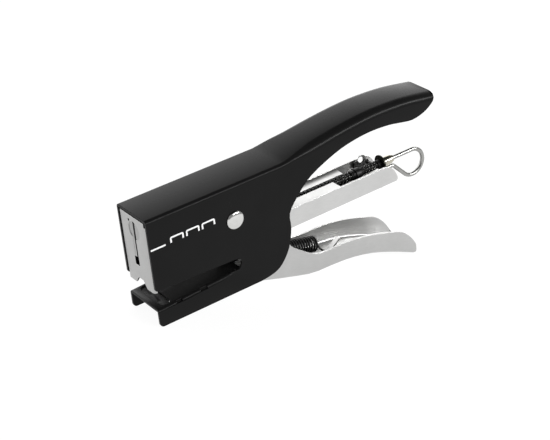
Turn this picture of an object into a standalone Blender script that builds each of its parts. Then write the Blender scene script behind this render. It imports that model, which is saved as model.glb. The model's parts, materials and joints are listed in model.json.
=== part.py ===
"""Hand plier stapler, modelled as its separate pieces in Blender 4.5.

Design sizes are in millimetres in the stapler's own frame: X runs back from the front of
the head, Y across, Z up from the underside of the anvil arm. The empty called stand tilts
the whole tool onto its two lowest points, the front of the arm and the tip of the lever.
"""
import math

import bpy
import bmesh
from mathutils import Matrix, Vector

MM = 0.001
GAP = 0.35                       # running clearance between neighbouring pieces

# Body pressing
SHEET = 1.5
BODY_HALF = 13.35                # half of the head's width
GRIP_HALF = 12.0                 # half width at the end of the upper handle
BODY_LENGTH = 182.8
HEAD_TOP = 59.6
HEAD_FOOT = 20.5                 # lower front corner of the side plates
HEAD_BACK = 82.0                 # where the head turns into the handle
BEND = 1.9                       # outside bend radius along the head
GRIP_BEND = 4.6                  # softer bend along the handle
GRIP_CORNER = 2.2                # handle end, seen from above
ARM_TOP = 10.0                   # anvil surface at the front
ARM_RISE = 0.053                 # the anvil surface climbs towards the throat's end
THROAT_END = 50.4
THROAT_ROUND = 3.1
WEB_BACK = 50.0                  # rear end of the arm's full-width web
TONGUE_BACK = 59.0               # rear end of the tongue that holds the return spring
TONGUE_HALF = 4.0
HOOK_HOLE_X = 55.5
DIE_X = 6.4                      # centre of the anvil die
DIE_LENGTH = 4.9                 # along X
DIE_WIDTH = 21.6                 # along Y

# Pivot
PIVOT = Vector((49.3, 0.0, 40.7))
SHAFT_R = 2.5
PIVOT_HOLE_R = SHAFT_R + GAP
RIVET_HEAD_R = 4.9
RIVET_HEAD_H = 1.25
BUSH_R = 4.0

# Lever
LEVER_SHEET = 1.3
LEVER_IN_HALF = 11.5             # half width between the body's side plates
LEVER_GRIP_HALF = 12.2
LEVER_TIP = (163.5, -28.5)       # lowest corner of the grip
PIN_X, PIN_Z = 8.0, 48.0
PIN_R = 1.8
TAB_X = 110.5                    # root of the lanced spring tab

# Magazine
MAG_HALF = 9.75
MAG_SHEET = 0.9
MAG_FRONT = 2.6
MAG_BACK = 155.5
MAG_BOTTOM = 20.0
MAG_TOP = 30.6
NEAR_FLANGE_BACK = 118.0         # the in-turned flanges end here
FAR_FLANGE_BACK = 129.0
STOP_Y = -7.4
MAG_SLOT_HALF = 3.1
NEAR_LIP = 2.3                   # the near flange reaches this close to the middle, behind the head
EAR_X, EAR_Z, EAR_R = 146.2, 28.6, 3.1     # ear of the far wall, round the latch window
WINDOW_X, WINDOW_Z, WINDOW_R = 145.5, 29.2, 1.7

# Front plate and driver
PLATE_FRONT = 0.2
PLATE_SHEET = 1.0
PLATE_HALF = 11.55
PLATE_BOTTOM = 18.5
PLATE_TOP = 57.3
PLATE_FLANGE = 2.9
DRIVER_FRONT = 1.55
DRIVER_SHEET = 0.6
DRIVER_HALF = 6.2
DRIVER_TIP = 27.8
DRIVER_SHELF = 45.9
SLIT_HALF = 0.8
SLIT_BOTTOM, SLIT_TOP = 34.0, 54.5

# Staples and follower
RAIL_HALF = 5.6
RAIL_TOP = 26.6
RAIL_FRONT, RAIL_BACK = 2.9, 112.0
STAPLE_HALF = 6.4
STAPLE_WIRE = 0.5
STRIP_BACK = 28.3
FOLLOWER_LENGTH = 12.0

# Pusher
ROD_Z = 28.0
ROD_R = 1.2
ROD_FRONT = 72.0
LOOP_X, LOOP_Z, LOOP_R = 173.5, 20.55, 7.45
SLEEVE_BORE = ROD_R + GAP
BUSH_X = 134.0                   # front of the latch bush
CAP_X = 148.0
WASHER_X = 151.6
FERRULE_X = 152.9
LATCH_NEAR = 7.2                 # near face of the latch plate's lug

# Return spring, from the arm's tongue to the lever's tab
RETURN_START = Vector((66.0, 0.0, 9.3))
RETURN_END = Vector((105.0, 0.0, 0.1))


# ---------------------------------------------------------------- shapes

def arc(x, z, radius, start, stop, steps):
    """Points on an arc, in degrees from +X towards +Z."""
    angles = [math.radians(start + (stop - start) * i / steps) for i in range(steps + 1)]
    return [(x + radius * math.cos(a), z + radius * math.sin(a)) for a in angles]


def flow(points, steps):
    """A smooth curve through all the points (Catmull-Rom)."""
    ends = [points[0], *points, points[-1]]
    line = []
    for a, b, c, d in zip(ends, ends[1:], ends[2:], ends[3:]):
        for i in range(steps):
            t = i / steps
            line.append(tuple(0.5 * (2 * q + (r - p) * t + (2 * p - 5 * q + 4 * r - s) * t ** 2
                                     + (3 * q - p - 3 * r + s) * t ** 3)
                              for p, q, r, s in zip(a, b, c, d)))
    return line + [tuple(points[-1])]


def height(points):
    """The function x -> z that runs smoothly through the points."""
    line = flow(points, 8)

    def at(x):
        if x <= line[0][0]:
            return line[0][1]
        for (x0, z0), (x1, z1) in zip(line, line[1:]):
            if x <= x1:
                return z0 + (z1 - z0) * (x - x0) / (x1 - x0)
        return line[-1][1]
    return at


def blend(a, b, start, stop):
    """The function x -> value that eases from a before start to b after stop."""
    def at(x):
        t = min(max((x - start) / (stop - start), 0.0), 1.0)
        return a + (b - a) * t * t * (3 - 2 * t)
    return at


def stations(*stops):
    """X positions from (start, step) pairs, ending at the last start."""
    line = []
    for (start, step), (stop, _) in zip(stops, stops[1:]):
        count = max(1, round((stop - start) / step))
        line += [start + (stop - start) * i / count for i in range(count)]
    return line + [stops[-1][0]]


def strip(points, thickness):
    """Outline of a bent sheet whose middle line is given, ends cut square."""
    left, right = [], []
    for i, point in enumerate(points):
        before = Vector(points[max(i - 1, 0)])
        after = Vector(points[min(i + 1, len(points) - 1)])
        here = Vector(point)
        run_in = (here - before).normalized() if i else (after - here).normalized()
        run_out = (after - here).normalized() if i < len(points) - 1 else run_in
        normal = Vector((-(run_in + run_out).y, (run_in + run_out).x)).normalized()
        reach = thickness / 2 / max(normal.dot(Vector((-run_in.y, run_in.x))), 0.5)
        left.append(tuple(here + normal * reach))
        right.append(tuple(here - normal * reach))
    return left + right[::-1]


def solid(name, bm):
    """A mesh object from bmesh geometry in millimetres, faces turned outwards."""
    bmesh.ops.remove_doubles(bm, verts=bm.verts, dist=1e-5)
    bmesh.ops.recalc_face_normals(bm, faces=bm.faces)
    bm.transform(Matrix.Scale(MM, 4))
    mesh = bpy.data.meshes.new(name)
    bm.to_mesh(mesh)
    bm.free()
    item = bpy.data.objects.new(name, mesh)
    bpy.context.scene.collection.objects.link(item)
    item.parent = stand
    return item


def loft(name, rings):
    """A closed solid through rings of equal length."""
    bm = bmesh.new()
    rows = [[bm.verts.new(p) for p in ring] for ring in rings]
    for row, following in zip(rows, rows[1:]):
        for i in range(len(row)):
            j = (i + 1) % len(row)
            bm.faces.new((row[i], row[j], following[j], following[i]))
    bm.faces.new(rows[0][::-1])
    bm.faces.new(rows[-1])
    return solid(name, bm)


def prism(name, outline, y0, y1):
    """An XZ outline extruded across the tool."""
    return loft(name, [[(x, y, z) for x, z in outline] for y in (y0, y1)])


def bar(name, section, x0, x1):
    """A YZ section extruded along the tool."""
    return loft(name, [[(x, y, z) for y, z in section] for x in (x0, x1)])


def plate(name, outline, z0, z1):
    """An XY outline extruded upwards."""
    return loft(name, [[(x, y, z) for x, y in outline] for z in (z0, z1)])


def box(name, x, y, z):
    """A rectangular solid from its X, Y and Z ranges."""
    return prism(name, [(x[0], z[0]), (x[1], z[0]), (x[1], z[1]), (x[0], z[1])], *y)


def turned(name, profile, centre, axis, steps=28):
    """A solid of revolution. The profile is a closed list of (distance along, radius)."""
    bm = bmesh.new()
    along = Vector(axis)
    side = along.orthogonal().normalized()
    points = [bm.verts.new(Vector(centre) + along * a + side * r) for a, r in profile]
    closed = min(r for _, r in profile) > 0
    pairs = list(zip(points, points[1:] + points[:1])) if closed else list(zip(points, points[1:]))
    edges = [bm.edges.new(pair) for pair in pairs]
    bmesh.ops.spin(bm, geom=points + edges, cent=centre, axis=along, dvec=(0, 0, 0),
                   angle=math.tau, steps=steps, use_merge=True, use_duplicate=False)
    item = solid(name, bm)
    item.data.shade_smooth()
    item.data.set_sharp_from_angle(angle=math.radians(35))
    return item


def tube(name, x0, x1, outer, bore):
    """A sleeve on the pusher rod's axis."""
    return turned(name, [(0, bore), (x1 - x0, bore), (x1 - x0, outer), (0, outer)],
                  (x0, 0, ROD_Z), (1, 0, 0))


def wire(name, points, radius, roundness):
    """A round wire along the points."""
    curve = bpy.data.curves.new(name, "CURVE")
    curve.dimensions = "3D"
    curve.bevel_depth = radius * MM
    curve.bevel_resolution = roundness
    curve.use_fill_caps = True
    spline = curve.splines.new("POLY")
    spline.points.add(len(points) - 1)
    for slot, point in zip(spline.points, points):
        slot.co = (*(Vector(point) * MM), 1.0)
    item = bpy.data.objects.new(name, curve)
    bpy.context.scene.collection.objects.link(item)
    item.parent = stand
    return item


def helix(start, end, radius, turns, per_turn):
    """Points of a coil from start to end."""
    along = end - start
    side = along.orthogonal().normalized()
    other = along.normalized().cross(side)
    count = round(turns * per_turn)
    points = []
    for i in range(count + 1):
        angle = math.tau * i / per_turn
        offset = side * math.cos(angle) + other * math.sin(angle)
        points.append(start + along * i / count + offset * radius)
    return points


def combine(item, operation, *others):
    """Boolean steps on an item. The other solids become hidden guides."""
    for other in others:
        step = item.modifiers.new(other.name, "BOOLEAN")
        step.operation = operation
        step.solver = "EXACT"
        step.object = other
        other.hide_render = True
        other.display_type = "WIRE"


def cross_hole(name, x, z, radius, half=20.0):
    """A round cutter across the tool."""
    return turned(name, [(0, 0), (0, radius), (2 * half, radius), (2 * half, 0)],
                  (x, -half, z), (0, 1, 0))


def up_hole(name, x, y, radius, z0, z1):
    """A round upright cutter."""
    return turned(name, [(0, 0), (0, radius), (z1 - z0, radius), (z1 - z0, 0)],
                  (x, y, z0), (0, 0, 1), steps=16)


# ---------------------------------------------------------------- frame and finish

def holder(name, place, parent):
    """An empty on a joint's axis, at a place in the stapler's frame."""
    item = bpy.data.objects.new(name, None)
    bpy.context.scene.collection.objects.link(item)
    item["place"] = [float(c) for c in place]
    home = Vector(parent["place"]) if parent else Vector()
    item.location = (Vector(place) - home) * MM
    item.parent = parent
    return item


def hang(item, on):
    """Moves an item's origin onto its joint's axis and parents it there."""
    item.data.transform(Matrix.Translation(-Vector(on["place"]) * MM))
    item.parent = on


def finish(item, colour, roughness, metallic):
    """Gives an item its own Principled material."""
    material = bpy.data.materials.new(item.name + "_finish")
    material.use_nodes = True
    shader = material.node_tree.nodes["Principled BSDF"]
    shader.inputs["Base Color"].default_value = (*colour, 1.0)
    shader.inputs["Roughness"].default_value = roughness
    shader.inputs["Metallic"].default_value = metallic
    item.data.materials.clear()
    item.data.materials.append(material)


BLACK_PAINT = ((0.018, 0.018, 0.019), 0.42, 0.0)
SATIN_STEEL = ((0.56, 0.56, 0.55), 0.38, 1.0)
BRIGHT_STEEL = ((0.66, 0.66, 0.65), 0.22, 1.0)
BLACK_STEEL = ((0.025, 0.025, 0.026), 0.35, 0.9)
DARK_STEEL = ((0.12, 0.115, 0.11), 0.4, 1.0)
PALE_BRASS = ((0.62, 0.58, 0.46), 0.3, 1.0)


# ---------------------------------------------------------------- body pressing

body_top = height([(0, HEAD_TOP), (60, HEAD_TOP), (76, HEAD_TOP), (HEAD_BACK, 59.8),
                   (92, 61.7), (104, 63.7), (122, 65.9), (140, 67.1), (158, 66.5),
                   (170, 65.0), (BODY_LENGTH, 62.8)])
body_bend = blend(BEND, GRIP_BEND, HEAD_BACK, 102.0)


def body_half(x):
    """Half width: straight head, tapered handle, rounded corners at the handle's end."""
    taper = max(0.0, (x - 87.0) / (BODY_LENGTH - 87.0))
    half = BODY_HALF + (GRIP_HALF - BODY_HALF) * taper
    into = max(0.0, x - (BODY_LENGTH - GRIP_CORNER))
    return half - GRIP_CORNER + math.sqrt(max(GRIP_CORNER ** 2 - into ** 2, 0.0))


def arch(x, half, top, bend, foot, steps):
    """An upside-down U outline at x: straight sides and rounded upper corners."""
    right = [(half - bend + bend * math.cos(a), top - bend + bend * math.sin(a))
             for a in (math.radians(90 * i / steps) for i in range(steps + 1))]
    left = [(-y, z) for y, z in reversed(right)]
    return [(x, y, z) for y, z in [(half, foot), *right, *left, (-half, foot)]]


def body_block(name, inset, start, stop, steps):
    """The body's outside (inset 0) or inside (inset one sheet) as a closed solid."""
    rings = []
    for x in stations((start, 80.0), (76.0, 4.0), (104.0, 6.0), (176.0, 1.5), (stop, 1.0)):
        here = min(x, BODY_LENGTH)
        bend = max(body_bend(here) - inset, 0.5)
        rings.append(arch(x, body_half(here) - inset, body_top(here) - inset, bend, -9.0, steps))
    return loft(name, rings)


def arm_top(x):
    return ARM_TOP + ARM_RISE * x


def body_outline():
    """Side view of the body: head, throat, arm, rounded back and handle underside."""
    back = flow([(61.0, 0.0), (68.9, 1.2), (74.4, 4.3), (79.6, 12.0), (82.0, 22.6),
                 (82.0, 31.0), (87.8, 38.8), (97.0, 46.6), (112.6, 53.0), (124.8, 55.7),
                 (137.0, 56.6), (149.0, 55.8), (157.2, 54.2), (165.4, 52.9), (173.0, 54.3),
                 (178.4, 57.2), (181.2, 60.4), (181.6, 64.0)], 3)
    above = [(BODY_LENGTH + 6, 66.0), (BODY_LENGTH + 6, 80.0), (-5.0, 80.0), (-5.0, 62.0)]
    foot = arc(1.4, HEAD_FOOT + 1.4, 1.4, 180, 264, 3)
    mid = (18.9 + arm_top(49.0)) / 2
    throat = arc(THROAT_END - THROAT_ROUND, mid, THROAT_ROUND, 88, -88, 8)
    arm = [(0.0, ARM_TOP)] + arc(2.2, 2.2, 2.2, 180, 270, 4)
    return back + above + [(0.0, 62.0)] + foot + throat + arm


def web_outline():
    """Side view of the arm's web with the spring tongue behind it."""
    line = [(0.0, ARM_TOP), (TONGUE_BACK, arm_top(TONGUE_BACK))]
    return line + [(x, z - SHEET) for x, z in reversed(line)]


def arm_round(name, side):
    """Cutter that rounds one upper edge of the arm."""
    rings = []
    for x, radius in ((-1.0, 1.6), (41.0, 1.6), (46.0, 0.15)):
        edge, top = BODY_HALF, arm_top(x) + 0.02
        turn = [(edge - radius + radius * math.sin(a), top - radius + radius * math.cos(a))
                for a in (math.radians(22.5 * i) for i in range(5))]
        ring = [*turn, (edge + 1.0, top - radius), (edge + 1.0, top + 1.0),
                (edge - radius, top + 1.0)]
        rings.append([(x, side * y, z) for y, z in ring])
    return loft(name, rings)


def oval(x, length, width, steps):
    """An XY oval, longer across the tool."""
    radius = length / 2
    far = width / 2 - radius
    top = [(x + dx, far + dy) for dx, dy in arc(0, 0, radius, 0, 180, steps)]
    return top + [(2 * x - px, -py) for px, py in top]


def make_body():
    shell = body_block("body_shell", 0.0, 0.0, BODY_LENGTH, 4)
    side_view = prism("body_side_guide", body_outline(), -20, 20)
    inside = body_block("body_inside_guide", SHEET, -6.0, BODY_LENGTH + 6.0, 3)
    web = prism("arm_web_guide", web_outline(), -(BODY_HALF - SHEET / 2), BODY_HALF - SHEET / 2)
    tongue_sides = [box(f"tongue_side_guide_{i}", (WEB_BACK, 90), ys, (9, 16))
                    for i, ys in enumerate(((TONGUE_HALF, BODY_HALF - SHEET),
                                            (SHEET - BODY_HALF, -TONGUE_HALF)))]
    combine(shell, "INTERSECT", side_view)
    combine(shell, "DIFFERENCE", inside)
    combine(shell, "UNION", web)
    cutters = [arm_round("arm_round_near", -1), arm_round("arm_round_far", 1), *tongue_sides]
    cutters.append(plate("die_window_guide", oval(DIE_X, DIE_LENGTH + 2 * GAP,
                                                  DIE_WIDTH + 2 * GAP, 8), 5, 14))
    cutters.append(up_hole("hook_hole_guide", HOOK_HOLE_X, 0, 1.6, 8, 16))
    cutters.append(cross_hole("body_pivot_guide", PIVOT.x, PIVOT.z, PIVOT_HOLE_R))
    for i, (x0, x1) in enumerate(((10.9, 14.1), (25.0, 29.0))):
        for side in (-1, 1):
            ys = sorted((side * (BODY_HALF - 1.1), side * 16.0))
            cutters.append(box(f"arm_notch_guide_{i}_{side}", (x0, x1), ys,
                               (arm_top(x0) - 1.3, 14.0)))
    combine(shell, "DIFFERENCE", *cutters)
    hang(shell, stand)
    finish(shell, *BLACK_PAINT)


def make_anvil_die():
    slope = Matrix.Translation((DIE_X, 0, arm_top(DIE_X))) @ Matrix.Rotation(
        -math.atan(ARM_RISE), 4, "Y") @ Matrix.Translation((-DIE_X, 0, -arm_top(DIE_X)))
    top = arm_top(DIE_X)
    die = plate("anvil_die", oval(DIE_X, DIE_LENGTH, DIE_WIDTH, 8), top - 2.4, top - 0.8)
    foot = plate("die_foot_guide", oval(DIE_X, DIE_LENGTH - 0.4, DIE_WIDTH - 0.4, 8),
                 top - 3.4, top - 2.2)
    combine(die, "UNION", foot)
    for side in (-1, 1):
        pocket = turned(f"clinch_guide_{side}", [(-3.0, 0), (-3.0, 0.4), (0, 1.2), (3.0, 0.4),
                                                 (3.0, 0)],
                        (DIE_X - 0.8, side * 4.4, top - 0.3), (0, 1, 0), steps=12)
        combine(die, "DIFFERENCE", pocket)
        pocket.data.transform(Matrix.Diagonal((MM, MM, MM, 1)) @ slope
                              @ Matrix.Diagonal((1 / MM, 1 / MM, 1 / MM, 1)))
    for piece in (die, foot):
        piece.data.transform(Matrix.Diagonal((MM, MM, MM, 1)) @ slope
                             @ Matrix.Diagonal((1 / MM, 1 / MM, 1 / MM, 1)))
    finish(die, *DARK_STEEL)


def make_pivot():
    reach = BODY_HALF + GAP
    dome = [(RIVET_HEAD_R * math.cos(a), RIVET_HEAD_H * math.sin(a))
            for a in (math.radians(18 * i) for i in range(6))]
    near = [(-reach - h, r) for r, h in reversed(dome)]
    far = [(reach + h, r) for r, h in dome]
    profile = [*near, (-reach, SHAFT_R), (reach, SHAFT_R), *far]
    profile[0] = (profile[0][0], 0.0)
    profile[-1] = (profile[-1][0], 0.0)
    rivet = turned("main_rivet", profile, (PIVOT.x, 0, PIVOT.z), (0, 1, 0))
    finish(rivet, *BRIGHT_STEEL)
    half = MAG_HALF - MAG_SHEET - GAP
    spacer = turned("pivot_bush", [(-half, PIVOT_HOLE_R), (half, PIVOT_HOLE_R), (half, BUSH_R),
                                   (-half, BUSH_R)], (PIVOT.x, 0, PIVOT.z), (0, 1, 0))
    finish(spacer, *SATIN_STEEL)


# ---------------------------------------------------------------- lever

lever_floor = height([(56, 0.0), (62, -1.7), (76, -6.2), (92.8, -11.2), (103.6, -11.8),
                      (118.8, -12.9), (133.5, -16.0), (148.3, -21.5), LEVER_TIP])
lever_half = blend(LEVER_IN_HALF, LEVER_GRIP_HALF, 84.0, 102.0)
lever_bend = blend(1.6, 2.6, 70.0, 100.0)


def trough(x, half, floor, bend, top, steps):
    """A U outline at x: straight sides and rounded lower corners."""
    right = [(half - bend + bend * math.cos(a), floor + bend - bend * math.sin(a))
             for a in (math.radians(90 * i / steps) for i in range(steps + 1))]
    left = [(-y, z) for y, z in reversed(right)]
    return [(x, y, z) for y, z in [(half, top), *right, *left, (-half, top)]]


def lever_block(name, inset, start, steps):
    """The lever's outside or inside as a closed solid."""
    end = LEVER_TIP[0] + 2.0
    rings = []
    for x in stations((start, 60.0), (56.0, 6.0), (158.0, 1.5), (end + 4 * (inset > 0), 1.0)):
        into = max(0.0, min(x, end) - (end - 2.4))
        half = lever_half(x) - 2.4 + math.sqrt(max(2.4 ** 2 - into ** 2, 0.0))
        bend = max(lever_bend(x) - inset, 0.5)
        rings.append(trough(x, half - inset, lever_floor(x) + inset, bend, 75.0, steps))
    return loft(name, rings)


def lever_outline():
    """Side view of the lever: pressing arms, pivot, neck and grip."""
    arm = [(60.5, -4.0), (58.5, 0.5), (56.8, 5.0), (55.3, 14.0), (54.0, 21.5), (50.0, 27.5),
           (44.0, 32.0), (34.0, 35.5), (10.0, 42.4)]
    nose = arc(7.2, 45.0, 2.6, 240, 180, 3) + arc(7.2, 51.4, 2.6, 180, 100, 4)
    back = flow([(12.0, 54.6), (30.0, 55.8), (48.0, 55.8), (60.0, 53.2), (69.0, 46.0),
                 (75.0, 33.0), (78.4, 20.0), (82.0, 11.0), (89.3, 4.8), (96.7, 0.3),
                 (106.0, -0.9), (119.7, -1.4), (134.3, -4.0), (147.0, -7.9), (154.9, -11.2),
                 (160.8, -17.0), (164.5, -23.4), (165.5, -27.0)], 3)
    tip = [(165.2, -28.2), LEVER_TIP, (160.0, -40.0), (61.0, -40.0)]
    return arm + nose + back + tip


def make_lever():
    lever = lever_block("lever", 0.0, 0.0, 4)
    combine(lever, "INTERSECT", prism("lever_side_guide", lever_outline(), -20, 20))
    combine(lever, "DIFFERENCE", lever_block("lever_inside_guide", LEVER_SHEET, -6.0, 3))
    foot = lever_floor(TAB_X) + LEVER_SHEET / 2
    tab = prism("spring_tab_guide", strip([(TAB_X - 2.2, foot + 0.05), (TAB_X, foot + 0.1),
                                           (TAB_X + 2.2, foot + 1.0),
                                           (TAB_X + 9.8, foot + 6.6)], 1.1), -1.6, 1.6)
    combine(lever, "DIFFERENCE", box("tab_window_guide", (TAB_X + 0.4, TAB_X + 10.5),
                                     (-2.2, 2.2), (-20.0, lever_floor(TAB_X) + 1.9)))
    combine(lever, "UNION", tab)
    combine(lever, "DIFFERENCE", cross_hole("lever_pivot_guide", PIVOT.x, PIVOT.z, PIVOT_HOLE_R),
            cross_hole("lever_pin_guide", PIN_X, PIN_Z, PIN_R + GAP))
    hang(lever, lever_axis)
    finish(lever, *SATIN_STEEL)
    half = LEVER_IN_HALF - 0.1
    pin = turned("drive_pin", [(-half, 0), (-half, PIN_R - 0.3), (0.3 - half, PIN_R),
                               (half - 0.3, PIN_R), (half, PIN_R - 0.3), (half, 0)],
                 (PIN_X, 0, PIN_Z), (0, 1, 0), steps=20)
    hang(pin, lever_axis)
    finish(pin, *BRIGHT_STEEL)


# ---------------------------------------------------------------- magazine

def magazine_outline():
    """Side view of the magazine: long channel, pivot ears, rounded rear corners."""
    rear = flow([(147.0, MAG_TOP), (150.6, 29.4), (153.4, 26.6), (155.0, 23.4),
                 (MAG_BACK, 21.6)], 3)
    ears = [(62.0, MAG_TOP), (57.5, 38.0)] + arc(PIVOT.x, PIVOT.z - 0.8, 6.0, 0, 180, 10)
    return ([(MAG_FRONT, MAG_BOTTOM), (154.6, MAG_BOTTOM), (155.3, 20.7)] + rear[::-1]
            + ears + [(38.0, 38.0), (34.0, MAG_TOP), (MAG_FRONT, MAG_TOP)])


def make_magazine():
    outline = magazine_outline()
    magazine = prism("magazine", outline, -MAG_HALF, MAG_HALF)
    inner = MAG_HALF - MAG_SHEET
    floor = MAG_BOTTOM + MAG_SHEET
    roof = MAG_TOP - MAG_SHEET
    sag = [(inner, -0.15), (8.2, -0.5), (7.0, -0.95), (5.4, -1.2), (2.0, -1.3)]
    inside = [(-inner, floor), (inner, floor)] + [(y, roof + dz) for y, dz in sag]
    above = [(y, MAG_TOP + dz) for y, dz in sag] + [(2.0, MAG_TOP + 5), (inner, MAG_TOP + 5)]
    ear = prism("mag_far_ear_guide", arc(EAR_X, EAR_Z, EAR_R, 0, 180, 14), inner - 0.5, MAG_HALF)
    combine(magazine, "UNION", ear)
    cutters = [
        bar("mag_inside_guide", inside + [(1.8, roof), (-inner, roof)], -1, 160),
        bar("mag_dished_flange_guide", above, 62, FAR_FLANGE_BACK + 1),
        box("mag_slot_guide", (-2, 64), (-MAG_SLOT_HALF, MAG_SLOT_HALF), (28, 60)),
        box("mag_rear_slot_guide", (63, 161), (-NEAR_LIP, MAG_SLOT_HALF), (28.05, 61)),
        box("mag_near_open_guide", (NEAR_FLANGE_BACK, 161), (-inner, 1.0), (floor + 1, 59)),
        box("mag_far_open_guide", (FAR_FLANGE_BACK, 162), (0.5, inner), (floor + 1.2, 58)),
        box("mag_ears_guide", (30, 70), (-inner, inner), (MAG_TOP, 58)),
        prism("mag_window_guide", arc(WINDOW_X, WINDOW_Z, WINDOW_R, 0, 342, 19), inner - 2, 20),
        cross_hole("mag_pivot_guide", PIVOT.x, PIVOT.z, PIVOT_HOLE_R),
        cross_hole("mag_plate_rivet_guide", 7.0, 25.0, 1.2 + GAP),
        up_hole("mag_rail_rivet_guide_front", 20, 0, 1.2 + GAP, 18, 23),
        up_hole("mag_rail_rivet_guide_rear", 100, 0, 1.2 + GAP, 18, 23),
        up_hole("mag_stop_rivet_guide", 145.7, STOP_Y, 0.7 + GAP, 18, 23),
    ]
    combine(magazine, "DIFFERENCE", *cutters)
    hang(magazine, magazine_axis)
    finish(magazine, *SATIN_STEEL)


def make_front_plate():
    """U-shaped plate with long flanges low down, where it is riveted to the magazine."""
    half, front, back = PLATE_HALF, PLATE_FRONT, PLATE_FRONT + PLATE_SHEET
    far_bend, near_bend = 0.9, 1.8
    far_corner = [(front + dx, half + dy)
                  for dx, dy in arc(far_bend, -far_bend, far_bend, 180, 90, 3)]
    near_corner = [(front + dx, dy - half)
                   for dx, dy in arc(near_bend, near_bend, near_bend, 270, 180, 4)]
    outside = far_corner + [(11.0, half), (11.0, -half)] + near_corner
    sheet = plate("front_plate", outside, PLATE_BOTTOM, PLATE_TOP)
    inner = half - PLATE_SHEET - 0.2
    crease = [(back + dx, inner + dy) for dx, dy in arc(0.8, -0.8, 0.8, 180, 90, 3)]
    inside = crease + [(14.0, inner), (14.0, -inner)] + [(x, -y) for x, y in reversed(crease)]
    cutters = [plate("plate_inside_guide", inside, 10, 70),
               box("plate_flange_guide", (PLATE_FLANGE, 20), (-20, 20), (32.5, 70)),
               box("plate_foot_guide", (front + near_bend, 20), (-20, 20), (10, HEAD_FOOT + 0.3)),
               box("plate_corner_guide", (-2, 2.2), (-20, 1.5 - half), (55.0, 60)),
               box("plate_groove_guide", (-2, front + 0.2), (0.2, 2.1), (SLIT_BOTTOM + 0.2, 45.5)),
               cross_hole("plate_rivet_guide", 7.0, 25.0, 1.2 + GAP),
               box("plate_slit_guide", (-2, 3), (-SLIT_HALF, SLIT_HALF), (SLIT_BOTTOM, SLIT_TOP)),
               box("plate_window_guide", (-2, 3), (-0.9, 2.9), (29.8, SLIT_BOTTOM + 0.4))]
    notch = [(-5.4, 15.0), (5.4, 15.0), (5.4, 18.0), (2.1, 22.3), (-2.1, 22.3), (-5.4, 18.0)]
    cutters.append(bar("plate_notch_guide", notch, -2, 3))
    cutters.append(turned("plate_recess_guide", [(-3, 0), (-3, 4.9), (0.3, 4.9), (0.3, 0)],
                          (front, -0.3, 49.5), (1, 0, 0), steps=36))
    cutters.append(turned("plate_dot_guide", [(-3, 0), (-3, 0.75), (3, 0.75), (3, 0)],
                          (front, 3.6, 54.2), (1, 0, 0), steps=12))
    combine(sheet, "DIFFERENCE", *cutters)
    hang(sheet, magazine_axis)
    finish(sheet, *SATIN_STEEL)
    for name, side in (("plate_rivet_near", -1), ("plate_rivet_far", 1)):
        rivet = turned(name, [(7.6, 0), (7.6, 2.0), (8.5, 2.0), (8.5, 1.2), (11.45, 1.2),
                              (11.45, 0)], (7.0, 0, 25.0), (0, side, 0), steps=16)
        hang(rivet, magazine_axis)
        finish(rivet, *BRIGHT_STEEL)


def make_rail():
    rail_sheet = 0.8
    floor = MAG_BOTTOM + MAG_SHEET + GAP
    half, inner = RAIL_HALF, RAIL_HALF - rail_sheet
    section = [(-half, floor), (half, floor), (half, RAIL_TOP), (inner, RAIL_TOP),
               (inner, floor + rail_sheet), (-inner, floor + rail_sheet), (-inner, RAIL_TOP),
               (-half, RAIL_TOP)]
    rail = bar("staple_rail", section, RAIL_FRONT, RAIL_BACK)
    combine(rail, "DIFFERENCE", up_hole("rail_rivet_guide_front", 20, 0, 1.2 + GAP, 18, 26),
            up_hole("rail_rivet_guide_rear", 100, 0, 1.2 + GAP, 18, 26))
    hang(rail, magazine_axis)
    finish(rail, *SATIN_STEEL)
    top = floor + rail_sheet + GAP
    for name, x in (("rail_rivet_front", 20.0), ("rail_rivet_rear", 100.0)):
        rivet = turned(name, [(0, 0), (0, 1.2), (top - MAG_BOTTOM, 1.2), (top - MAG_BOTTOM, 2.1),
                              (top - MAG_BOTTOM + 0.6, 1.7), (top - MAG_BOTTOM + 0.6, 0)],
                       (x, 0, MAG_BOTTOM), (0, 0, 1), steps=16)
        hang(rivet, magazine_axis)
        finish(rivet, *BRIGHT_STEEL)
    stop = turned("stop_rivet", [(-1.2, 0), (-1.2, 0.9), (-0.3, 1.6), (-0.3, 0.7), (1.4, 0.7),
                                 (1.4, 0)], (145.7, STOP_Y, MAG_BOTTOM), (0, 0, 1), steps=16)
    hang(stop, magazine_axis)
    finish(stop, *BRIGHT_STEEL)


def make_staples():
    crown = RAIL_TOP + GAP
    outer, inner = STAPLE_HALF, STAPLE_HALF - STAPLE_WIRE
    leg_end = MAG_BOTTOM + MAG_SHEET + GAP
    section = [(-outer, leg_end), (-inner, leg_end), (-inner, crown), (inner, crown),
               (inner, leg_end), (outer, leg_end), (outer, crown + STAPLE_WIRE),
               (-outer, crown + STAPLE_WIRE)]
    strip_item = bar("staple_strip", section, RAIL_FRONT, STRIP_BACK)
    hang(strip_item, magazine_axis)
    finish(strip_item, *BRIGHT_STEEL)


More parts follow.
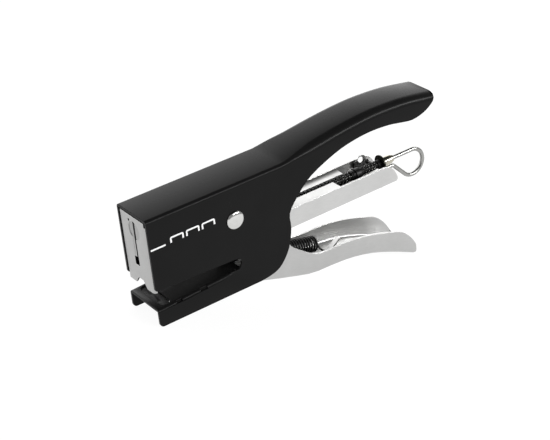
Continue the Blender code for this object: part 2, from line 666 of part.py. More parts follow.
def make_driver():
    front, back = DRIVER_FRONT, DRIVER_FRONT + DRIVER_SHEET
    middle = (front + back) / 2
    shelf = DRIVER_SHELF - DRIVER_SHEET / 2
    blade = box("driver_blade", (front, back), (-DRIVER_HALF, DRIVER_HALF),
                (DRIVER_TIP, DRIVER_SHELF - 0.1))
    hook = prism("driver_hook_guide", strip([(middle, shelf - 4), (middle, shelf),
                                             (PIN_X + 3.4, shelf), (PIN_X + 3.4, PIN_Z + 3.0),
                                             (PIN_X - 1.0, PIN_Z + 3.0)], DRIVER_SHEET), -5, 5)
    rib = box("driver_rib_guide", (PLATE_FRONT + 0.3, back - 0.1), (-0.25, 0.25), (42.6, 54.1))
    stem = box("driver_stem_guide", (front, back), (-2.5, 2.5), (DRIVER_SHELF - 1.0, 54.1))
    combine(blade, "UNION", hook, stem, rib)
    hang(blade, driver_axis)
    finish(blade, *DARK_STEEL)


# ---------------------------------------------------------------- pusher

def make_follower():
    crown = RAIL_TOP + GAP
    outer, inner = STAPLE_HALF + 0.3, RAIL_HALF + GAP
    foot = MAG_BOTTOM + MAG_SHEET + GAP
    section = [(-outer, foot), (-inner, foot), (-inner, crown), (inner, crown), (inner, foot),
               (outer, foot), (outer, 27.4), (outer - 0.7, 28.1), (0.7 - outer, 28.1),
               (-outer, 27.4)]
    front = STRIP_BACK + 0.3
    block = bar("follower", section, front, front + FOLLOWER_LENGTH)
    stub = turned("follower_stub_guide", [(-2, 0), (-2, 1.3), (4.5, 1.3), (5.0, 0.8), (5.0, 0)],
                  (front + FOLLOWER_LENGTH, 0, ROD_Z), (1, 0, 0), steps=16)
    combine(block, "UNION", stub)
    hang(block, follower_axis)
    finish(block, *SATIN_STEEL)


def rod_path():
    """Rod, round loop, slanting return and the short tail under the ferrule."""
    lean = 133.8
    bend = 2.6
    turn = math.radians(lean)
    loop = arc(LOOP_X, LOOP_Z, LOOP_R, 90, lean - 90 - 180, 20)
    tail_z = 23.6
    rise = (tail_z - bend) + bend * math.cos(math.radians(180 - lean)) - loop[-1][1]
    joint_x = loop[-1][0] + rise * math.cos(turn) / math.sin(turn)
    centre_x = joint_x - bend * math.cos(math.radians(lean - 90))
    tail = arc(centre_x, tail_z - bend, bend, lean - 90, 90, 4)
    line = [(ROD_FRONT, ROD_Z), (110.0, ROD_Z), (150.0, ROD_Z)] + loop + tail
    line.append((155.4, tail_z))
    return [(x, 0.0, z) for x, z in line]


def make_pusher():
    rod = wire("pusher_rod", rod_path(), ROD_R, 2)
    finish(rod, *BRIGHT_STEEL)
    ferrule = turned("ferrule", [(0, SLEEVE_BORE), (6.9, SLEEVE_BORE), (6.9, 2.0), (5.7, 2.0),
                                 (5.6, 2.45), (0.4, 2.55), (0, 2.3)],
                     (FERRULE_X, 0, ROD_Z), (1, 0, 0))
    finish(ferrule, *PALE_BRASS)
    washer = turned("end_washer", [(0, SLEEVE_BORE), (0.95, SLEEVE_BORE), (0.95, 4.1), (0.6, 4.5),
                                   (0, 4.5)], (WASHER_X, 0, ROD_Z), (1, 0, 0))
    finish(washer, *DARK_STEEL)
    cap = tube("spring_cap", CAP_X, WASHER_X - 0.3, 2.6, SLEEVE_BORE)
    finish(cap, *BLACK_STEEL)
    bush = tube("latch_bush", BUSH_X, BUSH_X + 3.0, 3.1, SLEEVE_BORE)
    finish(bush, *BLACK_STEEL)
    spring = wire("latch_spring", helix(Vector((BUSH_X + 3.9, 0, ROD_Z)),
                                        Vector((CAP_X - 0.9, 0, ROD_Z)), 2.1, 6, 10), 0.4, 0)
    finish(spring, *BLACK_STEEL)
    hook = ([(149.0, 25.6), (150.4, 26.8), (149.4, 28.6), (147.6, 28.0)]
            + arc(WINDOW_X, WINDOW_Z, 2.1, -30, -170, 6)
            + [(142.4, 30.2), (139.8, 29.9), (139.6, 25.6)])
    latch = prism("latch_plate", hook, LATCH_NEAR, LATCH_NEAR + 0.7)
    combine(latch, "UNION", box("latch_arm_guide", (148.2, 149.4), (2.9, LATCH_NEAR + 0.1),
                                (26.4, 28.0)))
    finish(latch, *DARK_STEEL)
    for item in (rod, ferrule, washer, cap, spring, latch):
        hang(item, rod_axis)
    back = STRIP_BACK + 0.3 + FOLLOWER_LENGTH
    coil = wire("pusher_spring", helix(Vector((back + 0.9, 0, ROD_Z)),
                                       Vector((BUSH_X - 0.9, 0, ROD_Z)), 2.2, 26, 8), 0.4, 0)
    finish(coil, *BLACK_STEEL)
    for item in (bush, coil):
        hang(item, pusher_axis)


def make_return_spring():
    radius = 3.9
    coil = helix(RETURN_START, RETURN_END, radius, 13, 12)
    head = [(HOOK_HOLE_X, 0, 15.2), (HOOK_HOLE_X, 0, 9.6), (HOOK_HOLE_X + 1.4, 0, 8.4)]
    lead_in = [coil[0] + (RETURN_START - coil[0]) * t for t in (0.85, 0.4)]
    lead_out = [coil[-1] + (RETURN_END - coil[-1]) * t for t in (0.4, 0.85)]
    tail = [(108.2, -1.6, -5.2), (111.4, -2.8, -8.4), (114.2, -2.6, -9.9), (115.3, -1.4, -10.3),
            (115.5, 0.8, -10.3)]
    spring = wire("return_spring", [*head, *lead_in, *coil, *lead_out, *tail], 0.5, 0)
    hang(spring, stand)
    finish(spring, *BLACK_STEEL)


def settle():
    """Tilts the tool onto its two lowest points and centres it over the origin."""
    nose = Vector((2.2, 2.2))
    tip = Vector(LEVER_TIP)
    run = tip - nose
    tilt = math.atan2(-run.y, run.x) - math.asin(nose.x / run.length)
    stand.rotation_euler = (0.0, -tilt, 0.0)
    bpy.context.view_layer.update()
    graph = bpy.context.evaluated_depsgraph_get()
    corners = []
    for item in bpy.context.scene.objects:
        if item.type in {"MESH", "CURVE"} and not item.hide_render:
            mesh = item.evaluated_get(graph).to_mesh()
            corners += [item.matrix_world @ v.co for v in mesh.vertices]
            item.evaluated_get(graph).to_mesh_clear()
    low = Vector([min(c[i] for c in corners) for i in range(3)])
    high = Vector([max(c[i] for c in corners) for i in range(3)])
    stand.location = (-(low.x + high.x) / 2, -(low.y + high.y) / 2, -low.z)


for old in list(bpy.data.objects):
    bpy.data.objects.remove(old)

stand = holder("stand", (0, 0, 0), None)
lever_axis = holder("lever_axis", PIVOT, stand)
magazine_axis = holder("magazine_axis", PIVOT, stand)
driver_axis = holder("driver_axis", (DRIVER_FRONT, 0, DRIVER_TIP), magazine_axis)
pusher_axis = holder("pusher_axis", (BUSH_X, 0, ROD_Z), magazine_axis)
rod_axis = holder("rod_axis", (FERRULE_X, 0, ROD_Z), pusher_axis)
follower_axis = holder("follower_axis", (STRIP_BACK, 0, ROD_Z), pusher_axis)

make_body()
make_anvil_die()
make_pivot()
make_lever()
make_magazine()
make_front_plate()
make_rail()
make_staples()
make_driver()
make_follower()
make_pusher()
make_return_spring()
settle()
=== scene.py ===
"""Hand plier stapler on a white sweep: black sheet-steel body, silver magazine and lever.

Sizes are in millimetres in the stapler's own frame, as in its CAD: X runs back from the front
of the head, Y across, Z up from the underside of the anvil arm. at() turns them into the row
frame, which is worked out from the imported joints. Angles are in degrees, and noise scales are
per metre.
"""

import json
import math

import bpy
import bmesh
from mathutils import Matrix, Vector


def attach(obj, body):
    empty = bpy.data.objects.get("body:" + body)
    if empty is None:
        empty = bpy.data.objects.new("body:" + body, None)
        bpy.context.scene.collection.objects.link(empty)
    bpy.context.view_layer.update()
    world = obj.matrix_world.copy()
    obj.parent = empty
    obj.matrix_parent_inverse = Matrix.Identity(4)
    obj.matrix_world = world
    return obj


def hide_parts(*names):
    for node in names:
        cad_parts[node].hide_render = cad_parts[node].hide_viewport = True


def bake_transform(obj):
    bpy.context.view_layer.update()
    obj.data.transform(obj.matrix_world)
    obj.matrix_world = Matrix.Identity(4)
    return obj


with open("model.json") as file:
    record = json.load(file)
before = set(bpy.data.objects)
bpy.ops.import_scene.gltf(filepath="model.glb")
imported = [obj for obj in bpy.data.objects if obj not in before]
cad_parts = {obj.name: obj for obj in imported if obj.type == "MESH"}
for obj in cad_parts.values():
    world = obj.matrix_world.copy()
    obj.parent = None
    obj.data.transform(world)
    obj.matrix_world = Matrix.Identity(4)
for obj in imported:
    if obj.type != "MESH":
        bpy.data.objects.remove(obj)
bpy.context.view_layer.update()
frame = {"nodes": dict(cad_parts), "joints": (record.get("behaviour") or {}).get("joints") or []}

MM = 0.001
PIVOT = Vector((49.3, 0.0, 40.7))                 # the lever's hinge
ROD_Z = 28.0                                      # height of the pusher rod's axis
BODY_HALF = 13.35                                 # half of the head's width
PLATE_FACE = 0.2                                  # front face of the front plate
COIN_Y, COIN_Z, COIN_RADIUS = -0.3, 49.5, 4.9     # round coined recess of the front plate
SLIT_SHADE_HALF, SLIT_SHADE_DEPTH, SLIT_SHADE_FADE = 3.0, 0.32, 0.1     # painted shade inside the plate's slit

joints = {joint["name"]: joint for joint in frame["joints"]}
X_AXIS = Vector(joints["pusher_slide"]["axis"]).normalized()
Y_AXIS = Vector((0, 1, 0))
Z_AXIS = X_AXIS.cross(Y_AXIS)
TURN = Matrix((X_AXIS, Y_AXIS, Z_AXIS)).transposed()
ORIGIN = Vector(joints["lever_hinge"]["pos_m"]) - TURN @ (PIVOT * MM)


def at(x, y, z):
    """A point of the stapler's own frame, in the row frame."""
    return ORIGIN + TURN @ (Vector((x, y, z)) * MM)


# ---------------------------------------------------------------- camera, floor and light

# The camera's place and directions are in the stapler's own frame.
CAMERA_PLACE = (-286.3, -556.9, 403.8)
CAMERA_RIGHT = Vector((0.80268, -0.58993, -0.08766))
CAMERA_AHEAD = Vector((0.47813, 0.72436, -0.49668))
LENS, SENSOR = 98.2, 36

FLOOR_RADIUS, FLOOR_DROP = 4.0, 0.0002            # metres
LAMP_AIM = Vector((0, 0, 0.03))                   # metres, in the row frame
LAMP_PLACE, LAMP_SIZE, LAMP_WATTS = Vector((0.7, -1.2, 0.68)), (1.3, 0.24), 20.0


def make_camera():
    """A long lens, in front of the head, above it and to its near side."""
    camera = bpy.data.objects.new("camera", bpy.data.cameras.new("camera"))
    bpy.context.scene.collection.objects.link(camera)
    ahead = (TURN @ CAMERA_AHEAD).normalized()
    right = TURN @ CAMERA_RIGHT
    right = (right - ahead * right.dot(ahead)).normalized()
    turn = Matrix((right, right.cross(ahead), -ahead)).transposed()
    camera.matrix_world = Matrix.Translation(at(*CAMERA_PLACE)) @ turn.to_4x4()
    camera.data.sensor_width = SENSOR
    camera.data.lens = LENS
    camera.data.clip_start = 0.05
    camera.data.clip_end = 20
    bpy.context.scene.camera = camera


def make_floor():
    """A wide disc that glows almost white, so that shadows on it stay faint."""
    bm = bmesh.new()
    bmesh.ops.create_circle(bm, cap_ends=True, segments=96, radius=FLOOR_RADIUS)
    mesh = bpy.data.meshes.new("floor")
    bm.to_mesh(mesh)
    bm.free()
    floor = bpy.data.objects.new("floor", mesh)
    bpy.context.scene.collection.objects.link(floor)
    floor.location.z = -FLOOR_DROP
    material = bpy.data.materials.new("white_sweep")
    material.use_nodes = True
    shader = material.node_tree.nodes["Principled BSDF"]
    looks = {"Base Color": (0.12, 0.12, 0.12, 1), "Roughness": 0.9, "Specular IOR Level": 0.1,
             "Emission Color": (1, 1, 1, 1), "Emission Strength": 0.93}
    for socket, value in looks.items():
        shader.inputs[socket].default_value = value
    mesh.materials.append(material)


def make_lamp():
    """A rectangular softbox on the stapler's near side, towards its rear."""
    data = bpy.data.lights.new("front_box", "AREA")
    data.shape = "RECTANGLE"
    data.size, data.size_y = LAMP_SIZE
    data.energy = LAMP_WATTS
    lamp = bpy.data.objects.new("front_box", data)
    bpy.context.scene.collection.objects.link(lamp)
    lamp.location = LAMP_PLACE
    lamp.rotation_euler = (LAMP_AIM - LAMP_PLACE).to_track_quat("-Z", "Y").to_euler()
    lamp.visible_camera = False


def make_world():
    """A horizon, bright beyond the far side and dim on the near side, under a dark ceiling."""
    world = bpy.data.worlds.new("studio")
    bpy.context.scene.world = world
    world.use_nodes = True
    nodes, links = world.node_tree.nodes, world.node_tree.links
    coordinate = nodes.new("ShaderNodeTexCoord")
    split = nodes.new("ShaderNodeSeparateXYZ")
    links.new(coordinate.outputs["Generated"], split.inputs[0])
    ramp = nodes.new("ShaderNodeValToRGB")
    links.new(split.outputs["Z"], ramp.inputs[0])
    horizon, ceiling = ramp.color_ramp.elements
    horizon.position = 0.66
    horizon.color = (1, 1, 1, 1)
    ceiling.position = 0.82
    ceiling.color = (0.05, 0.05, 0.05, 1)
    depth = nodes.new("ShaderNodeMapRange")
    levels = {"From Min": -0.2, "From Max": 0.6, "To Min": 0.3, "To Max": 2.15}
    for socket, value in levels.items():
        depth.inputs[socket].default_value = value
    links.new(split.outputs["Y"], depth.inputs["Value"])
    strength = nodes.new("ShaderNodeVectorMath")
    strength.operation = "SCALE"
    links.new(ramp.outputs[0], strength.inputs[0])
    links.new(depth.outputs[0], strength.inputs["Scale"])
    links.new(strength.outputs[0], nodes["Background"].inputs["Color"])


# ---------------------------------------------------------------- materials

class Graph:
    """A material's nodes, wired by short calls."""

    def __init__(self, name):
        self.material = bpy.data.materials.new(name)
        self.material.use_nodes = True
        self.nodes = self.material.node_tree.nodes
        self.links = self.material.node_tree.links
        self.shader = self.nodes["Principled BSDF"]
        self.place = self.add("ShaderNodeTexCoord").outputs["Object"]

    def put(self, node, socket, value):
        """Links an output to the node's socket, or sets the socket to a plain value."""
        if hasattr(value, "is_linked"):
            self.links.new(value, node.inputs[socket])
        else:
            node.inputs[socket].default_value = value

    def add(self, kind, inputs=(), **settings):
        """A new node with its settings and the values of its sockets."""
        node = self.nodes.new(kind)
        for key, value in settings.items():
            setattr(node, key, value)
        for socket, value in dict(inputs).items():
            self.put(node, socket, value)
        return node

    def feed(self, socket, value):
        """Gives the shader one of its values."""
        self.put(self.shader, socket, value)

    def noise(self, scale, detail, stretch=(1, 1, 1)):
        """Noise per metre, drawn out along an axis where its stretch is small."""
        mapped = self.add("ShaderNodeMapping", {"Vector": self.place, "Scale": stretch})
        return self.add("ShaderNodeTexNoise", {"Vector": mapped.outputs[0], "Scale": scale,
                                               "Detail": detail, "Roughness": 0.5}).outputs[0]

    def spread(self, value, low, high, start=0.0, stop=1.0):
        """Low where the value is at start, high where it is at stop, and even between."""
        return self.add("ShaderNodeMapRange", {"Value": value, "From Min": start,
                                               "From Max": stop, "To Min": low,
                                               "To Max": high}).outputs[0]

    def maths(self, operation, a, b, clamp=False):
        """One sum or product of two values."""
        return self.add("ShaderNodeMath", {0: a, 1: b}, operation=operation,
                        use_clamp=clamp).outputs[0]

    def vector_maths(self, operation, a, b):
        """The dot product of two vectors, or the distance between two points."""
        return self.add("ShaderNodeVectorMath", {0: a, 1: b},
                        operation=operation).outputs["Value"]

    def mix(self, amount, a, b):
        """Colour a where the amount is 0, and colour b where it is 1."""
        factor, first, second = 0, 6, 7
        return self.add("ShaderNodeMix", {factor: amount, first: a, second: b},
                        data_type="RGBA").outputs[2]

    def edges(self, width, scale, start, stop):
        """1 along worn edges of a width in mm, broken up by noise, and 0 elsewhere."""
        rounded = self.add("ShaderNodeBevel", {"Radius": width * MM}, samples=4).outputs[0]
        plain = self.add("ShaderNodeNewGeometry").outputs["Normal"]
        likeness = self.vector_maths("DOT_PRODUCT", rounded, plain)
        edge = self.spread(likeness, 1.0, 0.0, start=0.86, stop=0.995)
        wear = self.spread(self.noise(scale, detail=4.0), 0.0, 1.0, start, stop)
        return self.maths("MULTIPLY", edge, wear, clamp=True)

    def ball(self, centre, radius, rim=0.12):
        """1 inside a ball round a point of the stapler's frame, and 0 outside."""
        away = self.vector_maths("DISTANCE", self.place, tuple(at(*centre)))
        return self.spread(away, 1.0, 0.0, radius * MM, (radius + rim) * MM)

    def measure(self, axis, start, stop):
        """0 at start mm, 1 at stop mm, and even between, along an axis of the stapler's frame."""
        along = self.vector_maths("DOT_PRODUCT", self.place, tuple(axis))
        zero = ORIGIN.dot(axis)
        return self.spread(along, 0.0, 1.0, zero + start * MM, zero + stop * MM)

    def slit_shade(self):
        """1 inside the front plate's slit, where shade is painted, and 0 elsewhere."""
        inside = PLATE_FACE + SLIT_SHADE_DEPTH
        deep = self.measure(X_AXIS, inside, inside + SLIT_SHADE_FADE)
        near = self.measure(Y_AXIS, -SLIT_SHADE_HALF - SLIT_SHADE_FADE, -SLIT_SHADE_HALF)
        far = self.measure(Y_AXIS, SLIT_SHADE_HALF + SLIT_SHADE_FADE, SLIT_SHADE_HALF)
        return self.maths("MULTIPLY", deep, self.maths("MULTIPLY", near, far))

    def bump(self, height, strength, depth):
        """Surface relief of a depth in mm."""
        node = self.add("ShaderNodeBump", {"Height": height, "Strength": strength,
                                           "Distance": depth * MM})
        self.feed("Normal", node.outputs[0])


def grey(value, tint=(1, 1, 1)):
    """A grey colour, or a tinted one."""
    return (*(value * t for t in tint), 1.0)


def paint(name):
    """Satin black enamel with a faint orange peel and slight wear on its edges."""
    g = Graph(name)
    cloud = g.noise(45.0, detail=4.0)
    base = g.mix(cloud, grey(0.0078), grey(0.0105))
    worn = g.edges(width=0.45, scale=260.0, start=0.52, stop=0.72)
    g.feed("Base Color", g.mix(worn, base, grey(0.05)))
    sheen = g.spread(cloud, 0.21, 0.26, start=0.3, stop=0.7)
    smudge = g.spread(g.noise(120.0, detail=5.0), -0.01, 0.02, start=0.35, stop=0.75)
    g.feed("Roughness", g.maths("ADD", sheen, smudge))
    g.feed("Specular IOR Level", 0.06)
    g.bump(g.noise(2600.0, detail=2.0), strength=0.10, depth=0.04)
    return g.material


def steel(name, value, roughness, along=(0.06, 1, 1), coin=False, slit=False):
    """Plated sheet steel with fine drawn lines, cloudy sheen and brighter edges.

    The coin and slit switches darken the front plate's round recess and the inside of its slit with
    painted shade.
    """
    g = Graph(name)
    tint = (1, 1, 0.99)
    lines = g.noise(5200.0, detail=3.0, stretch=along)
    cloud = g.noise(70.0, detail=4.0)
    speck = g.noise(900.0, detail=4.0)
    drawn = g.spread(lines, 0, 1, start=0.35, stop=0.65)
    dull = g.spread(cloud, 0, 0.5, start=0.35, stop=0.7)
    base = g.mix(drawn, grey(value * 0.93, tint), grey(value, tint))
    base = g.mix(dull, base, grey(value * 0.86, tint))
    # painted shade: the round coined recess is darkened
    if coin:
        recess = g.ball((PLATE_FACE, COIN_Y, COIN_Z), COIN_RADIUS)
        base = g.mix(recess, base, grey(value * 0.78, tint))
    worn = g.edges(width=0.3, scale=400.0, start=0.35, stop=0.6)
    base = g.mix(worn, base, grey(value * 1.35, tint))
    # painted shade: the inside of the slit is darkened to near black
    if slit:
        base = g.mix(g.slit_shade(), base, grey(0.02))
    g.feed("Base Color", base)
    g.feed("Metallic", 1.0)
    sheen = g.spread(cloud, roughness - 0.04, roughness + 0.05, start=0.3, stop=0.7)
    specks = g.spread(speck, -0.03, 0.04, start=0.3, stop=0.7)
    g.feed("Roughness", g.maths("ADD", sheen, specks))
    g.feed("Anisotropic", 0.25)
    g.bump(lines, strength=0.06, depth=0.03)
    return g.material


def dark_metal(name, value, roughness, tint=(1, 1, 1), metallic=0.8):
    """Dark metal, black or bronze, with rubbed high spots."""
    g = Graph(name)
    cloud = g.noise(300.0, detail=4.0)
    base = g.mix(cloud, grey(value * 0.7, tint), grey(value * 1.2, tint))
    worn = g.edges(width=0.25, scale=700.0, start=0.45, stop=0.7)
    g.feed("Base Color", g.mix(worn, base, grey(value * 3 + 0.05, tint)))
    g.feed("Metallic", metallic)
    g.feed("Roughness", g.spread(cloud, roughness - 0.06, roughness + 0.1, start=0.3, stop=0.7))
    g.bump(g.noise(1500.0, detail=3.0), strength=0.12, depth=0.03)
    return g.material


def bright_metal(name, value, roughness, tint):
    """Smooth turned, drawn or plated metal with faint die lines."""
    g = Graph(name)
    cloud = g.noise(400.0, detail=4.0)
    base = g.mix(cloud, grey(value * 0.88, tint), grey(value * 1.05, tint))
    worn = g.edges(width=0.2, scale=800.0, start=0.4, stop=0.7)
    g.feed("Base Color", g.mix(worn, base, grey(0.9, tint)))
    g.feed("Metallic", 1.0)
    g.feed("Roughness", g.spread(cloud, roughness - 0.03, roughness + 0.06, start=0.3, stop=0.7))
    g.bump(g.noise(3000.0, detail=2.0), strength=0.05, depth=0.02)
    return g.material


def white_ink(name):
    """Screen-printed white ink, slightly thin in places."""
    g = Graph(name)
    speck = g.noise(1800.0, detail=4.0)
    cover = g.spread(speck, 0, 1, start=0.3, stop=0.6)
    g.feed("Base Color", g.mix(cover, grey(0.72), grey(0.86)))
    g.feed("Roughness", g.spread(speck, 0.45, 0.6))
    g.bump(speck, strength=0.1, depth=0.02)
    return g.material


# ---------------------------------------------------------------- pieces

PIECE_SMOOTH, NODE_SMOOTH = 40, 35                # facets that meet at less shade smoothly
FLAT_ANGLE, EDGE_ANGLE = 0.4, 38                  # flatter facets are joined, sharper edges rounded
WELD_GAP = 0.001                                  # vertices nearer than this become one


def piece(name, bm, material, body=None):
    """A mesh piece in the row frame, with its material, body and finish."""
    bmesh.ops.recalc_face_normals(bm, faces=bm.faces)
    mesh = bpy.data.meshes.new(name)
    bm.to_mesh(mesh)
    bm.free()
    mesh.shade_smooth()
    mesh.set_sharp_from_angle(angle=math.radians(PIECE_SMOOTH))
    mesh.materials.append(material)
    item = bpy.data.objects.new(name, mesh)
    bpy.context.scene.collection.objects.link(item)
    if body:
        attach(item, body)
    return item


def smooth_group():
    """Geometry nodes that shade smoothly across edges flatter than NODE_SMOOTH."""
    group = bpy.data.node_groups.new("smooth_by_angle", "GeometryNodeTree")
    group.interface.new_socket("Geometry", in_out="INPUT", socket_type="NodeSocketGeometry")
    group.interface.new_socket("Geometry", in_out="OUTPUT", socket_type="NodeSocketGeometry")
    nodes, links = group.nodes, group.links
    start, end = nodes.new("NodeGroupInput"), nodes.new("NodeGroupOutput")
    faces = nodes.new("GeometryNodeSetShadeSmooth")
    edges = nodes.new("GeometryNodeSetShadeSmooth")
    edges.domain = "EDGE"
    angle = nodes.new("GeometryNodeInputMeshEdgeAngle")
    flat = nodes.new("FunctionNodeCompare")
    flat.operation = "LESS_EQUAL"
    flat.inputs[1].default_value = math.radians(NODE_SMOOTH)
    links.new(start.outputs[0], faces.inputs[0])
    links.new(faces.outputs[0], edges.inputs[0])
    links.new(angle.outputs[0], flat.inputs[0])
    links.new(flat.outputs[0], edges.inputs["Shade Smooth"])
    links.new(edges.outputs[0], end.inputs[0])
    return group


SMOOTH = smooth_group()


def dress(node, material, edge=0.0):
    """Gives a CAD node its material, smooth bends and, with an edge in mm, rounded edges."""
    item = frame["nodes"][node]
    mesh = item.data
    mesh.materials.clear()
    mesh.materials.append(material)
    if "custom_normal" in mesh.attributes:
        mesh.attributes.remove(mesh.attributes["custom_normal"])
    mesh.shade_smooth()
    weld = item.modifiers.new("weld", "WELD")
    weld.merge_threshold = WELD_GAP * MM
    if edge:
        flat = item.modifiers.new("flat", "DECIMATE")
        flat.decimate_type = "DISSOLVE"
        flat.angle_limit = math.radians(FLAT_ANGLE)
        bevel = item.modifiers.new("edge", "BEVEL")
        bevel.width = edge * MM
        bevel.segments = 2
        bevel.limit_method = "ANGLE"
        bevel.angle_limit = math.radians(EDGE_ANGLE)
        bevel.use_clamp_overlap = False
        bevel.harden_normals = True
    else:
        item.modifiers.new("smooth", "NODES").node_group = SMOOTH


def skin(bm, rings):
    """Closes rings of vertices into a tube, with a cap at each end."""
    sides = len(rings[0])
    for near, far in zip(rings, rings[1:]):
        for k in range(sides):
            bm.faces.new((near[k], near[(k + 1) % sides], far[(k + 1) % sides], far[k]))
    bm.faces.new(rings[0][::-1])
    bm.faces.new(rings[-1])
    return bm


def sweep(points, radius, sides):
    """A round tube along points of the stapler's frame, capped at both ends."""
    path = [Vector(p) for p in points]
    bm = bmesh.new()
    rings = []
    side = None
    for i, here in enumerate(path):
        ahead = (path[min(i + 1, len(path) - 1)] - path[max(i - 1, 0)]).normalized()
        side = ahead.orthogonal() if side is None else side - ahead * side.dot(ahead)
        side.normalize()
        other = ahead.cross(side)
        ring = []
        for k in range(sides):
            a = math.tau * k / sides
            outward = side * math.cos(a) + other * math.sin(a)
            ring.append(bm.verts.new(at(*(here + outward * radius))))
        rings.append(ring)
    return skin(bm, rings)


def flow(points, steps):
    """A smooth curve through all the points (Catmull-Rom)."""
    ends = [points[0], *points, points[-1]]
    line = []
    for a, b, c, d in zip(ends, ends[1:], ends[2:], ends[3:]):
        for i in range(steps):
            t = i / steps
            line.append(tuple(0.5 * (2 * q + (r - p) * t + (2 * p - 5 * q + 4 * r - s) * t ** 2
                                     + (3 * q - p - 3 * r + s) * t ** 3)
                              for p, q, r, s in zip(a, b, c, d)))
    return line + [tuple(points[-1])]


def arc(x, z, radius, start, stop, steps):
    """Points on an arc, in degrees from +X towards +Z."""
    angles = [math.radians(start + (stop - start) * i / steps) for i in range(steps + 1)]
    return [(x + radius * math.cos(a), z + radius * math.sin(a)) for a in angles]


CLOSED_PITCH = 0.3                                # pitch of a closed turn against an open one


def helix(start, end, radius, turns, per_turn, closed=0, hand=1):
    """Points of a coil from start to end, with closed turns at each end. Hand -1 is left."""
    start, end = Vector(start), Vector(end)
    along = end - start
    side = along.orthogonal().normalized()
    other = along.normalized().cross(side) * hand
    pitch = 1.0 / (turns - 2 * (1 - CLOSED_PITCH) * closed)
    points = []
    for i in range(round(turns * per_turn) + 1):
        turn = i / per_turn
        in_front = min(turn, closed)
        in_open = max(0.0, min(turn, turns - closed) - closed)
        in_rear = max(0.0, turn - (turns - closed))
        t = min(1.0, pitch * (in_open + CLOSED_PITCH * (in_front + in_rear)))
        angle = math.tau * turn
        points.append(start + along * t + (side * math.cos(angle) + other * math.sin(angle)) * radius)
    return points


# ---------------------------------------------------------------- springs, loop and print

# Each spring's radius is at its wire's centre, and _WIRE is the radius of a wire.
RETURN_FRONT, RETURN_REAR = (66.0, 0, 8.2), (104.4, 0, -1.9)
RETURN_RADIUS, RETURN_WIRE, RETURN_TURNS = 3.95, 0.55, 24
PUSHER_X, PUSHER_RADIUS, PUSHER_WIRE, PUSHER_TURNS = (41.2, 133.4), 2.15, 0.48, 43
LATCH_X, LATCH_RADIUS, LATCH_WIRE, LATCH_TURNS = (137.5, 151.1), 1.95, 0.4, 11.6

ROD_WIRE, ROD_FRONT, ROD_REAR = 1.2, 72.0, 165.0
EYE_X, EYE_Z, EYE_RADIUS = 173.5, 20.55, 7.45     # the loop's round eye, at the wire's centre
TAIL_LEAN = 133.8                                 # lean of the wire where the eye ends
TAIL_Z, TAIL_BEND, TAIL_END = 23.6, 2.6, 155.4    # the wire's tail, back under the rod

INK_WIDTH, INK_GAP, INK_TOP = 0.9, 0.01, 0.05     # the ink's faces stand off the head's side
STRIPE_Z, STRIPE_START, STRIPE_END = 43.6, 0.6, 9.0
SIGN_COUNT, SIGN_X, SIGN_STEP, SIGN_WIDTH = 3, 12.2, 9.1, 6.9
SIGN_LOW, SIGN_TOP, SIGN_BEND = 43.4, 46.2, 0.6


def make_return_spring(material):
    """The lever's return spring, a coil with a hook in the body and one in the lever."""
    coil = helix(RETURN_FRONT, RETURN_REAR, RETURN_RADIUS, RETURN_TURNS, per_turn=20)
    head = flow([(58.0, 0, 13.4), (57.0, 0, 14.9), (55.6, 0, 14.9), (55.3, 0, 12.6),
                 (56.6, 0, 9.6), (60.0, 0, 8.2), (63.6, 0, 8.9)], steps=6)
    tail = flow([coil[-1], (106.2, -2.4, -4.7), (109.4, -2.9, -7.6), (112.6, -2.9, -9.3),
                 (115.0, -1.6, -10.0), (115.5, 0.6, -10.1)], steps=6)
    join = flow([head[-1], (64.8, 0.8, 10.6), coil[0]], steps=4)
    route = [*head, *join[1:-1], *coil, *tail[1:]]
    wire = sweep(route, RETURN_WIRE, sides=10)
    spring = piece("return_coil", wire, material)
    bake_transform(spring)
    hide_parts("return_spring")


def rod_coil(ends, radius, turns, closed):
    """A left-hand coil round the pusher rod."""
    front, rear = ends
    return helix((front, 0, ROD_Z), (rear, 0, ROD_Z), radius, turns, per_turn=18,
                 closed=closed, hand=-1)


def make_pusher_springs(material):
    """The long spring behind the follower and the short one in front of the end washer."""
    coil = rod_coil(PUSHER_X, PUSHER_RADIUS, PUSHER_TURNS, closed=2)
    wire = sweep(coil, PUSHER_WIRE, sides=8)
    spring = piece("pusher_coil", wire, material)
    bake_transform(spring)
    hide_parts("pusher_spring")
    coil = rod_coil(LATCH_X, LATCH_RADIUS, LATCH_TURNS, closed=3)
    wire = sweep(coil, LATCH_WIRE, sides=8)
    spring = piece("latch_coil", wire, material, "rod")
    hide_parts("latch_spring", "spring_cap")


def make_loop(material):
    """The pusher rod and its wire loop: the rod, the round eye, and a bend back under the rod."""
    lean = math.radians(TAIL_LEAN)
    bend_z = TAIL_Z - TAIL_BEND
    eye = arc(EYE_X, EYE_Z, EYE_RADIUS, 90, TAIL_LEAN - 270, steps=60)
    eye_end_x, eye_end_z = eye[-1]
    rise = bend_z - TAIL_BEND * math.cos(lean) - eye_end_z
    bend_x = eye_end_x + rise / math.tan(lean) - TAIL_BEND * math.sin(lean)
    bend = arc(bend_x, bend_z, TAIL_BEND, TAIL_LEAN - 90, 90, steps=12)
    line = [(ROD_FRONT, ROD_Z), (ROD_REAR, ROD_Z), *eye, *bend, (TAIL_END, TAIL_Z)]
    wire = sweep([(x, 0.0, z) for x, z in line], ROD_WIRE, sides=20)
    rod = piece("wire_loop", wire, material, "rod")
    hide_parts("pusher_rod")


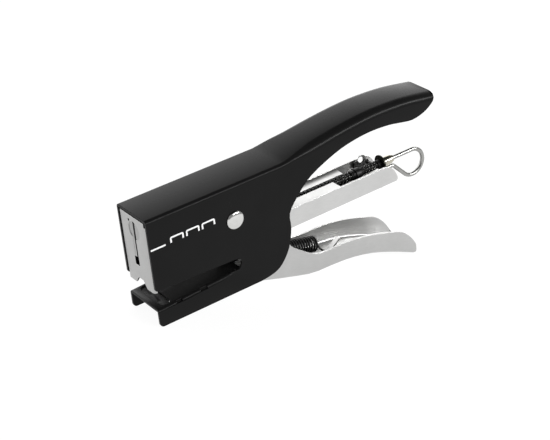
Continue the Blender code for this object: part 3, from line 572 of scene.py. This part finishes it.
def ribbon(points):
    """A thin closed strip of ink along XZ points, on the near side of the head."""
    inner, outer = -(BODY_HALF + INK_GAP), -(BODY_HALF + INK_TOP)
    bm = bmesh.new()
    rings = []
    for i, (x, z) in enumerate(points):
        ahead = Vector(points[min(i + 1, len(points) - 1)]) - Vector(points[max(i - 1, 0)])
        side = Vector((-ahead.y, ahead.x)).normalized() * INK_WIDTH / 2
        corners = [(x + side.x, inner, z + side.y), (x + side.x, outer, z + side.y),
                   (x - side.x, outer, z - side.y), (x - side.x, inner, z - side.y)]
        rings.append([bm.verts.new(at(*c)) for c in corners])
    return skin(bm, rings)


def make_print(material):
    """A pinstripe and a row of small staple signs in white ink."""
    stripe = [(STRIPE_START, STRIPE_Z), (STRIPE_END, STRIPE_Z)]
    piece("ink_stripe", ribbon(stripe), material, "frame")
    bend_z = SIGN_TOP - SIGN_BEND
    for i in range(SIGN_COUNT):
        left = SIGN_X + SIGN_STEP * i
        right = left + SIGN_WIDTH
        sign = [(left, SIGN_LOW), *arc(left + SIGN_BEND, bend_z, SIGN_BEND, 180, 90, steps=6),
                *arc(right - SIGN_BEND, bend_z, SIGN_BEND, 90, 0, steps=6), (right, SIGN_LOW)]
        piece(f"ink_staple_{i}", ribbon(sign), material, "frame")


# ---------------------------------------------------------------- the scene

make_camera()
make_floor()
make_world()
make_lamp()

enamel = paint("black_enamel")
lever_steel = steel("lever_steel", value=0.52, roughness=0.34)
magazine_steel = steel("magazine_steel", value=0.61, roughness=0.34)
plate_steel = steel("plate_steel", value=0.46, roughness=0.33, along=(1, 1, 0.06), coin=True, slit=True)
bright = bright_metal("bright_wire", value=0.66, roughness=0.14, tint=(1, 1, 0.98))
loop_wire = bright_metal("loop_wire", value=0.36, roughness=0.24, tint=(1, 1, 0.97))
brass = bright_metal("pale_brass", value=0.5, roughness=0.24, tint=(1.0, 0.96, 0.82))
blued = dark_metal("black_wire", value=0.010, roughness=0.46, metallic=0.5)
# painted shade: near-black steel for the driver blade in the slit and the anvil die in its recess
shade_black = dark_metal("painted_shade_steel", value=0.008, roughness=0.5)
die_steel = dark_metal("die_steel", value=0.03, roughness=0.36)
bronze = dark_metal("washer_bronze", value=0.05, roughness=0.30, tint=(1.0, 0.98, 0.8))

dress("body_shell", enamel, edge=0.22)
dress("lever", lever_steel, edge=0.2)
dress("magazine", magazine_steel, edge=0.14)
dress("front_plate", plate_steel, edge=0.12)
# painted shade: the driver blade is near black, for the dark slit
dress("driver_blade", shade_black, edge=0.08)
dress("latch_plate", die_steel, edge=0.08)
# painted shade: the anvil die is near black, for its dark recess
dress("anvil_die", shade_black)
dress("latch_bush", blued)
dress("end_washer", bronze)
dress("ferrule", brass)
for node in ("main_rivet", "drive_pin", "plate_rivet_near", "plate_rivet_far",
             "rail_rivet_front", "rail_rivet_rear", "stop_rivet", "staple_strip"):
    dress(node, bright)
for node in ("staple_rail", "follower", "pivot_bush"):
    dress(node, magazine_steel)

make_return_spring(blued)
make_pusher_springs(blued)
make_loop(loop_wire)
make_print(white_ink("white_ink"))

bpy.context.scene.view_settings.view_transform = "Standard"
